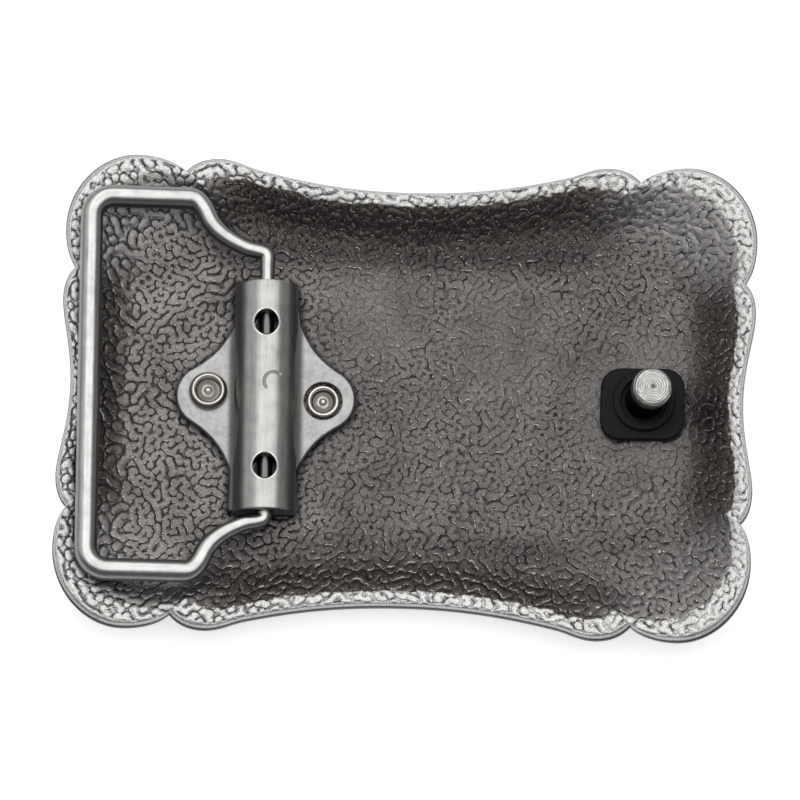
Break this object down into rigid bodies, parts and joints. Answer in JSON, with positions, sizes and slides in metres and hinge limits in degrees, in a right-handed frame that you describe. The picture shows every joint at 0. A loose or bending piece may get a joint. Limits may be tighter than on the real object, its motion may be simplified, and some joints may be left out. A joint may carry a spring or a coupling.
{
  "type": "belt buckle",
  "caption": "Western-style dress belt buckle with a scalloped cast plate, a swinging bail for the belt's fixed end and a stud for its holes.",
  "frame": {"origin": "middle of the underside of the object's box, at the centre of the flat blank panel on the plate's front", "axes": "+X along the buckle from the bail to the belt stud, +Y across the belt, +Z out of the back"},
  "size_m": [0.089, 0.0622, 0.0132],
  "materials": {
    "aged_cast": "aged cast metal, dark in the grooves and burnished on the rim",
    "bracket_sheet": "satin sheet with dark edges",
    "barrel_steel": "satin, polished along its length",
    "bail_steel": "antiqued satin",
    "rivet_metal": "bare metal, dark in the cups",
    "black_steel": "smooth black, slightly glossy",
    "turned_steel": "turned end face, blackened shaft"
  },
  "bodies": {
    "buckle": {"plate": "aged_cast", "hinge_bracket": "bracket_sheet", "hinge_barrel": "barrel_steel", "rivet_left": "rivet_metal", "rivet_right": "rivet_metal", "stud_foot": "black_steel", "stud_collar": "black_steel", "belt_stud": "turned_steel"},
    "bail": {"bail": "bail_steel"}
  },
  "joints": [
    {"name": "bail_hinge", "type": "hinge", "parent": "buckle", "child": "bail", "pos_m": [-0.01804, 0, 0.00691], "axis": [-0.0227, 0.9997, 0.001], "range_deg": [0, 168]}
  ]
}
